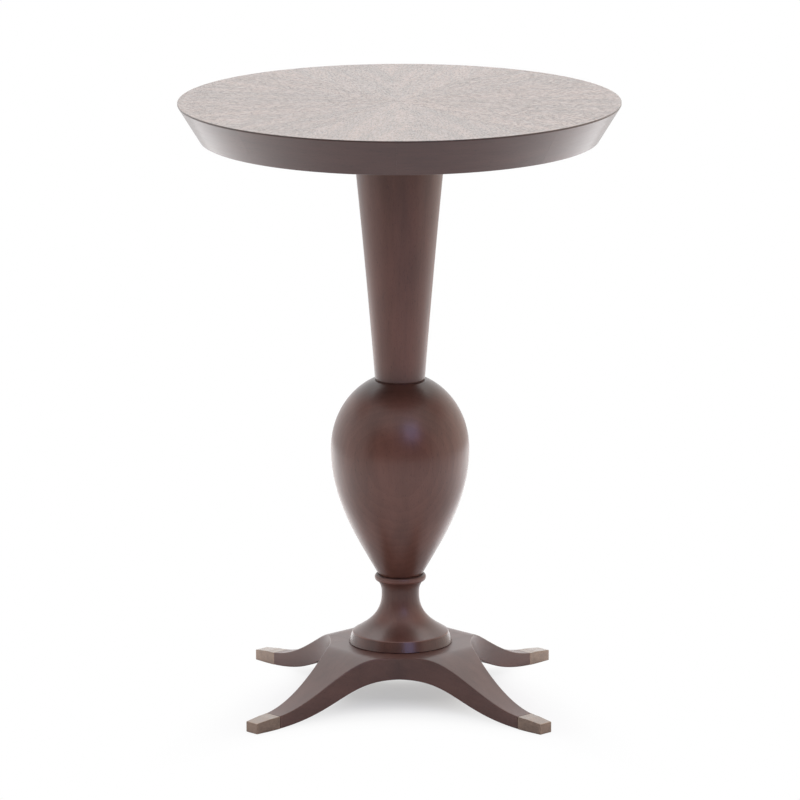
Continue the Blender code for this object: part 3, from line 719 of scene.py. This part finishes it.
# Mounting block and its screws
# A round block of beech under the top takes the column's tenon and the upper nut, and is screwed up into the
# core panel. It is stained dark like the column.
BLOCK_SCREW_COUNT = 6
block_beech = plain_timber(
    "block_beech",
    pale=(0.062, 0.030, 0.023),
    deep=(0.040, 0.019, 0.014),
    fibre_cells=(30.0, 700.0, 700.0),
)
dress_nodes(["mounting_block"], block_beech)
dress_nodes([f"block_screw_{i + 1}" for i in range(BLOCK_SCREW_COUNT)], fixing_zinc)

# Core panel
# A round of fibreboard that lies on the rim's ledge and carries the veneer. It shows only from below, where
# it is stained dark to match.
core_fibreboard = plain_timber(
    "core_fibreboard",
    pale=(0.052, 0.027, 0.021),
    deep=(0.038, 0.019, 0.014),
    fibre_cells=(900.0, 900.0, 900.0),
)
dress_nodes(["core_panel"], core_fibreboard)

# Rim
# Eight segments of walnut glued end to end round the core. The outer face is undercut, so that the top looks
# thin at its edge, and the lower edge is eased. The grain follows the ring.
RIM_COUNT = 8
RIM_RADIUS = 0.2540
RIM_TOP = 0.7009
RIM_EDGE_LEVEL = 0.7001
RIM_UNDER = 0.6588
RIM_FOOT_RADIUS = 0.2285
RIM_INNER_RADIUS = 0.1680
RIM_WALL_RADIUS = 0.1903
RIM_LEDGE_LEVEL = 0.6824
RIM_ARRIS = 0.0008
RIM_SEAM = 0.00002
RIM_BOARD_STEP = 0.53
rim_corners = [
    (RIM_RADIUS, RIM_TOP),
    (RIM_RADIUS, RIM_EDGE_LEVEL),
    (RIM_FOOT_RADIUS, RIM_UNDER),
    (RIM_INNER_RADIUS, RIM_UNDER),
    (RIM_INNER_RADIUS, RIM_LEDGE_LEVEL),
    (RIM_WALL_RADIUS, RIM_LEDGE_LEVEL),
    (RIM_WALL_RADIUS, RIM_TOP),
]
rim_section = [
    rim_corners[0],
    *eased_corner(*rim_corners[0:3], RIM_ARRIS / 2),
    *eased_corner(*rim_corners[1:4], RIM_ARRIS),
    *rim_corners[3:],
]


def ring_part(section, angle, steps=36):
    """A closed section carried part of the way round the table's axis from +X."""
    shape = bmesh.new()
    slices = []
    for turn in np.linspace(0.0, angle, steps + 1):
        slices.append([shape.verts.new((r * math.cos(turn), r * math.sin(turn), z)) for r, z in section])
    for near, far in zip(slices, slices[1:]):
        for i in range(len(section)):
            shape.faces.new((near[i - 1], near[i], far[i], far[i - 1]))
    shape.faces.new(slices[0])
    shape.faces.new(slices[-1])
    return shape


rim_walnut = stained_walnut(
    "rim_walnut",
    pale=(0.089, 0.0370, 0.0285),
    deep=(0.059, 0.0230, 0.0178),
    layer_gap=0.0050,
    heart=(0.12, 0.05),
    gloss=0.36,
    coat=0.4,
)
rim_angle = 2 * math.pi / RIM_COUNT
rim_gap = RIM_SEAM / RIM_INNER_RADIUS
for i in range(RIM_COUNT):
    name = f"rim_segment_{i + 1}"
    segment = finished_mesh(f"{name}_walnut", ring_part(rim_section, rim_angle - rim_gap))
    lay_grain(
        segment,
        lambda p, shift=RIM_BOARD_STEP * i: (
            math.atan2(p.y, p.x) * RIM_RADIUS + shift, math.hypot(p.x, p.y) - RIM_RADIUS, p.z),
        lambda p: Vector((-p.y, p.x, 0.0)).normalized(),
        worn=lambda p: 0.0,
    )
    set_piece(f"{name}_walnut", segment, rim_walnut, [name], i * rim_angle)

# Veneered top
# Twelve leaves of open-pored walnut, cut as sectors and glued down point to the middle, so that the grain
# runs out like rays. Neighbours are turned over to match, and alternate leaves are painted a little lighter
# and darker, a painted sheen. All are stained and lacquered to a soft haze.
LEAF_COUNT = 12
TOP_LEVEL = 0.7020
LEAF_UNDER = 0.7010
LEAF_ARRIS = 0.0007
FIRST_SEAM = math.radians(4)
LEAF_SEAM = 0.00001
# Alternate leaves painted a little lighter and darker, a painted sheen for the turned-over faces.
LEAF_PAINTED_SHEEN = (1.05, 0.95)
LEAF_FLITCH_STEP = 0.02


def leaf_shape(steps=24, arris_steps=4):
    """One sector along +X, flat above and eased at the outer edge."""
    shape = bmesh.new()
    half = math.pi / LEAF_COUNT
    inset = LEAF_SEAM / RIM_RADIUS
    midway = RIM_RADIUS / 2
    edge = [(midway, TOP_LEVEL)]
    for a in np.linspace(0.0, math.pi / 2, arris_steps + 1):
        edge.append((RIM_RADIUS - LEAF_ARRIS * (1 - math.sin(a)), TOP_LEVEL - LEAF_ARRIS * (1 - math.cos(a))))
    edge += [(RIM_RADIUS, LEAF_UNDER), (midway, LEAF_UNDER)]
    point = LEAF_SEAM / math.sin(half)
    top_point = shape.verts.new((point, 0.0, TOP_LEVEL))
    under_point = shape.verts.new((point, 0.0, LEAF_UNDER))
    slices = []
    for turn in np.linspace(inset - half, half - inset, steps + 1):
        slices.append([shape.verts.new((r * math.cos(turn), r * math.sin(turn), z)) for r, z in edge])
    for near, far in zip(slices, slices[1:]):
        shape.faces.new((top_point, near[0], far[0]))
        shape.faces.new((under_point, far[-1], near[-1]))
        for i in range(len(edge) - 1):
            shape.faces.new((near[i], near[i + 1], far[i + 1], far[i]))
    shape.faces.new((top_point, *slices[0], under_point))
    shape.faces.new((under_point, *slices[-1][::-1], top_point))
    return shape


LEAF_STRIPE_CELLS = (8.0, 60.0, 60.0)
LEAF_FIBRE_CELLS = (120.0, 400.0, 400.0)
LEAF_PORE_CELLS = (240.0, 760.0, 760.0)
LEAF_PORE_SPAN = (0.47, 0.73)
LEAF_STRIPE_SHARE = 0.75
LEAF_FIBRE_SHARE = 0.25
LEAF_FIGURE_SPAN = (0.38, 0.62)
LEAF_END_SPAN = (0.6, 0.95)
LEAF_END_STAIN = 0.25
LEAF_PORE_STAIN = 0.12
LEAF_GLOSS_SWING = 0.06
LEAF_FIBRE_RELIEF = 0.5


def open_veneer(name, pale, deep, gloss, coat):
    """Open-pored veneer under thin lacquer: growth stripes, fibre, and pores the lacquer doesn't fill."""
    material = bpy.data.materials.new(name)
    material.use_nodes = True
    tree = material.node_tree
    shader = tree.nodes["Principled BSDF"]
    board = add_node(tree, "ShaderNodeAttribute", attribute_name="grain").outputs["Vector"]
    stripe = scaled_noise(tree, board, LEAF_STRIPE_CELLS)
    fibre = scaled_noise(tree, board, LEAF_FIBRE_CELLS, roughness=0.65)
    pores = between(tree, scaled_noise(tree, board, LEAF_PORE_CELLS, detail=3.0), *LEAF_PORE_SPAN)
    figure = worked(tree, "MULTIPLY", stripe, LEAF_STRIPE_SHARE)
    figure = worked(tree, "ADD", figure, worked(tree, "MULTIPLY", fibre, LEAF_FIBRE_SHARE))
    tone = between(tree, figure, *LEAF_FIGURE_SPAN)
    middle = tuple((a + b) / 2 for a, b in zip(pale, deep))
    wood = colour_stops(tree, tone, [(0.0, deep), (0.5, middle), (1.0, pale)])
    across = add_node(tree, "ShaderNodeAttribute", attribute_name="end_grain").outputs["Fac"]
    # Painted sheen: each leaf's own factor makes alternate leaves a little lighter and darker.
    painted_light_and_tone = add_node(tree, "ShaderNodeAttribute", attribute_name="painted_light_and_tone").outputs["Fac"]
    stain_and_painted_light = worked(tree, "MULTIPLY", between(tree, across, *LEAF_END_SPAN, 1.0, LEAF_END_STAIN), painted_light_and_tone)
    stain_and_painted_light = worked(tree, "MULTIPLY", stain_and_painted_light, between(tree, pores, 0.0, 1.0, 1.0, LEAF_PORE_STAIN))
    stain = add_node(tree, "ShaderNodeVectorMath", {0: wood, "Scale": stain_and_painted_light}, operation="SCALE")
    tree.links.new(stain.outputs["Vector"], shader.inputs["Base Color"])
    dulled = between(tree, fibre, *NOISE_SPAN, gloss - LEAF_GLOSS_SWING, gloss + LEAF_GLOSS_SWING)
    tree.links.new(dulled, shader.inputs["Roughness"])
    relief = worked(tree, "SUBTRACT", worked(tree, "MULTIPLY", fibre, LEAF_FIBRE_RELIEF), pores)
    bump = add_node(tree, "ShaderNodeBump", {"Height": relief, "Strength": 1.0, "Distance": 0.00048})
    tree.links.new(bump.outputs["Normal"], shader.inputs["Normal"])
    tree.links.new(bump.outputs["Normal"], shader.inputs["Coat Normal"])
    shader.inputs["Coat Weight"].default_value = coat
    shader.inputs["Coat Roughness"].default_value = 0.18
    shader.inputs["Coat IOR"].default_value = LACQUER_IOR
    return material


top_veneer = open_veneer(
    "top_veneer",
    pale=(0.180, 0.100, 0.068),
    deep=(0.119, 0.062, 0.040),
    gloss=0.34,
    coat=0.70,
)
leaf_angle = 2 * math.pi / LEAF_COUNT
for i in range(LEAF_COUNT):
    name = f"veneer_leaf_{i + 1}"
    leaf = finished_mesh(f"{name}_walnut", leaf_shape())
    lay_grain(
        leaf,
        lambda p, side=1 - 2 * (i % 2), shift=LEAF_FLITCH_STEP * (i // 2): (p.x, side * p.y + shift, p.z),
        lambda p: lengthwise,
        painted_light_and_tone=lambda p, face=i % 2: LEAF_PAINTED_SHEEN[face],
    )
    turn = FIRST_SEAM + leaf_angle * (i + 0.5)
    set_piece(f"{name}_walnut", leaf, top_veneer, [name], turn)

# The table stands on a round of plain white paper. It glows behind the table, out at both sides and near the
# back legs, a painted glow that lights the table like a lamp, and it is a little darker in front, painted
# shade.
# The camera sees it white but for a painted pool round the base, where the table's shadow shows.
FLOOR_RADIUS = 1.7
FLOOR_DROP = 0.0002
# Paper darker in front than behind: painted shade that dims what it bounces onto the table and mirrors in it.
FRONT_PAINTED_SHADE_WHITE = 0.74
BACK_WHITE = 0.86
MOTTLE = 0.02
MOTTLE_CELLS = (3.0, 3.0, 3.0)
SWEEP_REACH = (-0.2, 0.9)
SWEEP_GLOW = 0.42
WING_SHIFT = 0.04
WING_REACH = (0.30, 0.70)
WING_START = (-0.9, 0.7)
WING_END = (0.95, 1.40)
WING_END_SHARE = 0.2
WING_GLOW = 0.9
HEEL_SIDE = (0.10, 0.22)
HEEL_SIDE_END = (0.28, 0.44)
HEEL_BACK = (0.02, 0.28)
HEEL_GLOW = 0.90
SHADOW_BACK = 0.03
SHADOW_BEND = 4.2
SHADOW_WIDTH = 0.65
SHADOW_REACH = 0.185
SHADOW_TAIL = 0.75
SHADOW_LIFT = ((0.0, 0.36), (0.24, 0.40), (0.42, 0.56), (0.60, 0.785), (0.80, 0.943), (1.0, 1.0))


def paper_floor(name):
    """White paper with painted glow and painted shade in front, white to the camera but in a painted shadow
    pool.
    """
    material = bpy.data.materials.new(name)
    material.use_nodes = True
    tree = material.node_tree
    tree.nodes.remove(tree.nodes["Principled BSDF"])
    place = add_node(tree, "ShaderNodeTexCoord").outputs["Object"]
    ways = add_node(tree, "ShaderNodeSeparateXYZ", {0: place})
    behind = between(tree, ways.outputs["Y"], *SWEEP_REACH)
    mottle = scaled_noise(tree, place, MOTTLE_CELLS, detail=2.0)
    shade = between(tree, behind, 0.0, 1.0, FRONT_PAINTED_SHADE_WHITE, BACK_WHITE)
    shade = worked(tree, "ADD", shade, worked(tree, "MULTIPLY", mottle, MOTTLE))
    white = colour_stops(tree, shade, [(0.0, (0.0,) * 3), (1.0, (1.0,) * 3)])
    paper = add_node(tree, "ShaderNodeBsdfDiffuse", {"Color": white})
    aside = worked(tree, "ABSOLUTE", ways.outputs["X"])
    # Painted glow: the paper gives out light behind the table, out at both sides and near the back legs.
    wing_side = worked(tree, "ABSOLUTE", worked(tree, "SUBTRACT", ways.outputs["X"], WING_SHIFT))
    wings = between(tree, wing_side, *WING_REACH, 0.0, WING_GLOW)
    wings = worked(tree, "MULTIPLY", wings, between(tree, ways.outputs["Y"], *WING_START))
    wings = worked(tree, "MULTIPLY", wings, between(tree, wing_side, *WING_END, 1.0, WING_END_SHARE))
    heel = between(tree, ways.outputs["Y"], *HEEL_BACK, 0.0, HEEL_GLOW)
    heel = worked(tree, "MULTIPLY", heel, between(tree, aside, *HEEL_SIDE))
    heel = worked(tree, "MULTIPLY", heel, between(tree, aside, *HEEL_SIDE_END, 1.0, 0.0))
    sweep = worked(tree, "MULTIPLY", behind, SWEEP_GLOW)
    painted_glow_level = worked(tree, "ADD", sweep, worked(tree, "ADD", wings, heel))
    painted_glow = add_node(tree, "ShaderNodeEmission", {"Strength": painted_glow_level})
    paper_with_painted_glow = add_node(tree, "ShaderNodeAddShader", {0: paper.outputs["BSDF"], 1: painted_glow.outputs["Emission"]})
    plain_white = add_node(tree, "ShaderNodeEmission", {"Color": (1.0, 1.0, 1.0, 1.0), "Strength": 1.0})
    seen = add_node(tree, "ShaderNodeLightPath").outputs["Is Camera Ray"]
    # Painted shadow: the camera sees the paper's own shading only in a bent oval round the base with a tail
    # behind, fading out to white. The shadow in it is rendered, but its shape and fade are painted.
    bend = worked(tree, "MULTIPLY", worked(tree, "MULTIPLY", aside, aside), SHADOW_BEND)
    forward = worked(tree, "SUBTRACT", worked(tree, "ADD", ways.outputs["Y"], bend), SHADOW_BACK)
    tail = worked(tree, "MULTIPLY", worked(tree, "MAXIMUM", forward, 0.0), SHADOW_TAIL)
    forward = worked(tree, "ADD", worked(tree, "MINIMUM", forward, 0.0), tail)
    off_shadow = add_node(tree, "ShaderNodeCombineXYZ", {
        "X": worked(tree, "MULTIPLY", aside, SHADOW_WIDTH), "Y": forward})
    apart = add_node(tree, "ShaderNodeVectorMath", {0: off_shadow.outputs["Vector"]}, operation="LENGTH")
    outward = worked(tree, "DIVIDE", apart.outputs["Value"], SHADOW_REACH)
    painted_shadow_fade = colour_stops(tree, outward, [(stop, (level,) * 3) for stop, level in SHADOW_LIFT])
    lifted = add_node(tree, "ShaderNodeMixShader", {
        0: worked(tree, "MULTIPLY", seen, painted_shadow_fade),
        1: paper_with_painted_glow.outputs["Shader"],
        2: plain_white.outputs["Emission"],
    })
    tree.links.new(lifted.outputs["Shader"], tree.nodes["Material Output"].inputs["Surface"])
    return material


paper = bmesh.new()
bmesh.ops.create_circle(paper, cap_ends=True, segments=96, radius=FLOOR_RADIUS)
floor_mesh = bpy.data.meshes.new("paper_floor")
paper.to_mesh(floor_mesh)
paper.free()
floor = bpy.data.objects.new("paper_floor", floor_mesh)
bpy.context.scene.collection.objects.link(floor)
floor.location.z = -FLOOR_DROP
floor_mesh.materials.append(paper_floor("paper_white"))

# Studio light
# White walls stand all round, brightest behind the table and warmer at the right, with a dark room behind the
# camera. A broad soft box hangs overhead, and a cool window stands at the right front.
BACK_LEVEL = 1.29
FRONT_LEVEL = 0.97
WALL_TURN = (-0.3, 0.6)
WALL_FOOT = (-0.22, 0.0)
WALL_FOOT_SHARE = 0.82
HIGH_SIDE_OUT = (0.48, 0.62)
HIGH_SIDE_UP = (0.40, 0.55)
HIGH_SIDE_BACK = (-0.20, 0.08)
HIGH_SIDE_SHARE = 0.35
HIGH_BACK_UP = (0.60, 0.80)
HIGH_BACK = (0.24, 0.40)
HIGH_BACK_LEVEL = 1.0
ROOM_TURN = (0.35, 0.75)
ROOM_UP = (0.38, 0.70)
ROOM_LEVEL = 0.15
MIRRORED_TURN = (0.0, 0.6)
WARM_TURN = (0.1, 0.7)
WARM_WALL = (1.0, 0.93, 0.86)
studio = bpy.data.worlds.new("white_studio")
bpy.context.scene.world = studio
studio.use_nodes = True
sky = studio.node_tree
direction = add_node(sky, "ShaderNodeTexCoord").outputs["Generated"]
ways = add_node(sky, "ShaderNodeSeparateXYZ", {0: direction})
right, back, up = ways.outputs
walls = between(sky, back, *WALL_TURN, FRONT_LEVEL, BACK_LEVEL)
walls = worked(sky, "MULTIPLY", walls, between(sky, up, *WALL_FOOT, WALL_FOOT_SHARE, 1.0))
high_side = between(sky, worked(sky, "ABSOLUTE", right), *HIGH_SIDE_OUT)
high_side = worked(sky, "MULTIPLY", high_side, between(sky, up, *HIGH_SIDE_UP))
high_side = worked(sky, "MULTIPLY", high_side, between(sky, back, *HIGH_SIDE_BACK))
walls = worked(sky, "MULTIPLY", walls, between(sky, high_side, 0.0, 1.0, 1.0, HIGH_SIDE_SHARE))
high_back = worked(sky, "MULTIPLY", between(sky, up, *HIGH_BACK_UP), between(sky, back, *HIGH_BACK))
walls = worked(sky, "ADD", walls, worked(sky, "MULTIPLY", high_back, HIGH_BACK_LEVEL))
dark_room = between(sky, worked(sky, "MULTIPLY", back, -1.0), *ROOM_TURN)
dark_room = worked(sky, "MULTIPLY", dark_room, between(sky, up, *ROOM_UP, 1.0, 0.0))
dome = between(sky, dark_room, 0.0, 1.0, walls, ROOM_LEVEL)
ray = add_node(sky, "ShaderNodeLightPath").outputs
mirrored = worked(sky, "MAXIMUM", ray["Is Glossy Ray"], ray["Is Transmission Ray"])
mirrored = worked(sky, "MULTIPLY", mirrored, between(sky, back, *MIRRORED_TURN))
mirrored_white = worked(sky, "MAXIMUM", dome, mirrored)
seen_white = between(sky, ray["Is Camera Ray"], 0.0, 1.0, mirrored_white, 1.0)
warmed = worked(sky, "SUBTRACT", 1.0, ray["Is Camera Ray"])
warmed = worked(sky, "MULTIPLY", warmed, between(sky, right, *WARM_TURN))
wall_colour = colour_stops(sky, warmed, [(0.0, (1.0, 1.0, 1.0)), (1.0, WARM_WALL)])
background = sky.nodes["Background"]
sky.links.new(wall_colour, background.inputs["Color"])
sky.links.new(seen_white, background.inputs["Strength"])


def soft_light(name, place, aim, width, height, power, colour=(1.0, 1.0, 1.0)):
    """A broad soft box that faces a point on the table."""
    lamp = bpy.data.lights.new(name, "AREA")
    lamp.shape = "RECTANGLE"
    lamp.size = width
    lamp.size_y = height
    lamp.energy = power
    lamp.color = colour
    box = bpy.data.objects.new(name, lamp)
    box.location = place
    box.rotation_euler = (Vector(aim) - Vector(place)).to_track_quat("-Z", "Y").to_euler()
    bpy.context.scene.collection.objects.link(box)


soft_light("overhead_box", place=(0.0, 0.25, 3.0), aim=(0.0, 0.0, 0.4), width=3.2, height=2.6, power=34.0)
soft_light(
    "cool_window",
    place=(0.87, -2.15, 1.60),
    aim=(0.0, 0.0, 0.30),
    width=1.10,
    height=1.10,
    power=10.5,
    colour=(0.47, 0.51, 1.0),
)

# Camera
# A camera with a long lens stands well back and above the top, and looks slightly down on the table, at the
# photograph's viewing angle.
CAMERA_DISTANCE = 7.6139
CAMERA_HEIGHT = 2.0471
CAMERA_TURN = 0.01325
CAMERA_PITCH = 0.21903
CAMERA_ROLL = -0.00207
CAMERA_LENS = 304.2
CAMERA_SENSOR = 36.0
CAMERA_SIGHT = 100.0
lens = bpy.data.cameras.new("camera")
lens.lens = CAMERA_LENS
lens.sensor_width = CAMERA_SENSOR
lens.clip_end = CAMERA_SIGHT
camera = bpy.data.objects.new("camera", lens)
camera.location = (
    CAMERA_DISTANCE * math.sin(CAMERA_TURN), -CAMERA_DISTANCE * math.cos(CAMERA_TURN), CAMERA_HEIGHT)
camera.rotation_euler = (math.pi / 2 - CAMERA_PITCH, 0.0, CAMERA_TURN)
camera.rotation_euler.rotate_axis("Z", CAMERA_ROLL)
bpy.context.scene.collection.objects.link(camera)
bpy.context.scene.camera = camera
bpy.context.scene.view_settings.view_transform = "Standard"
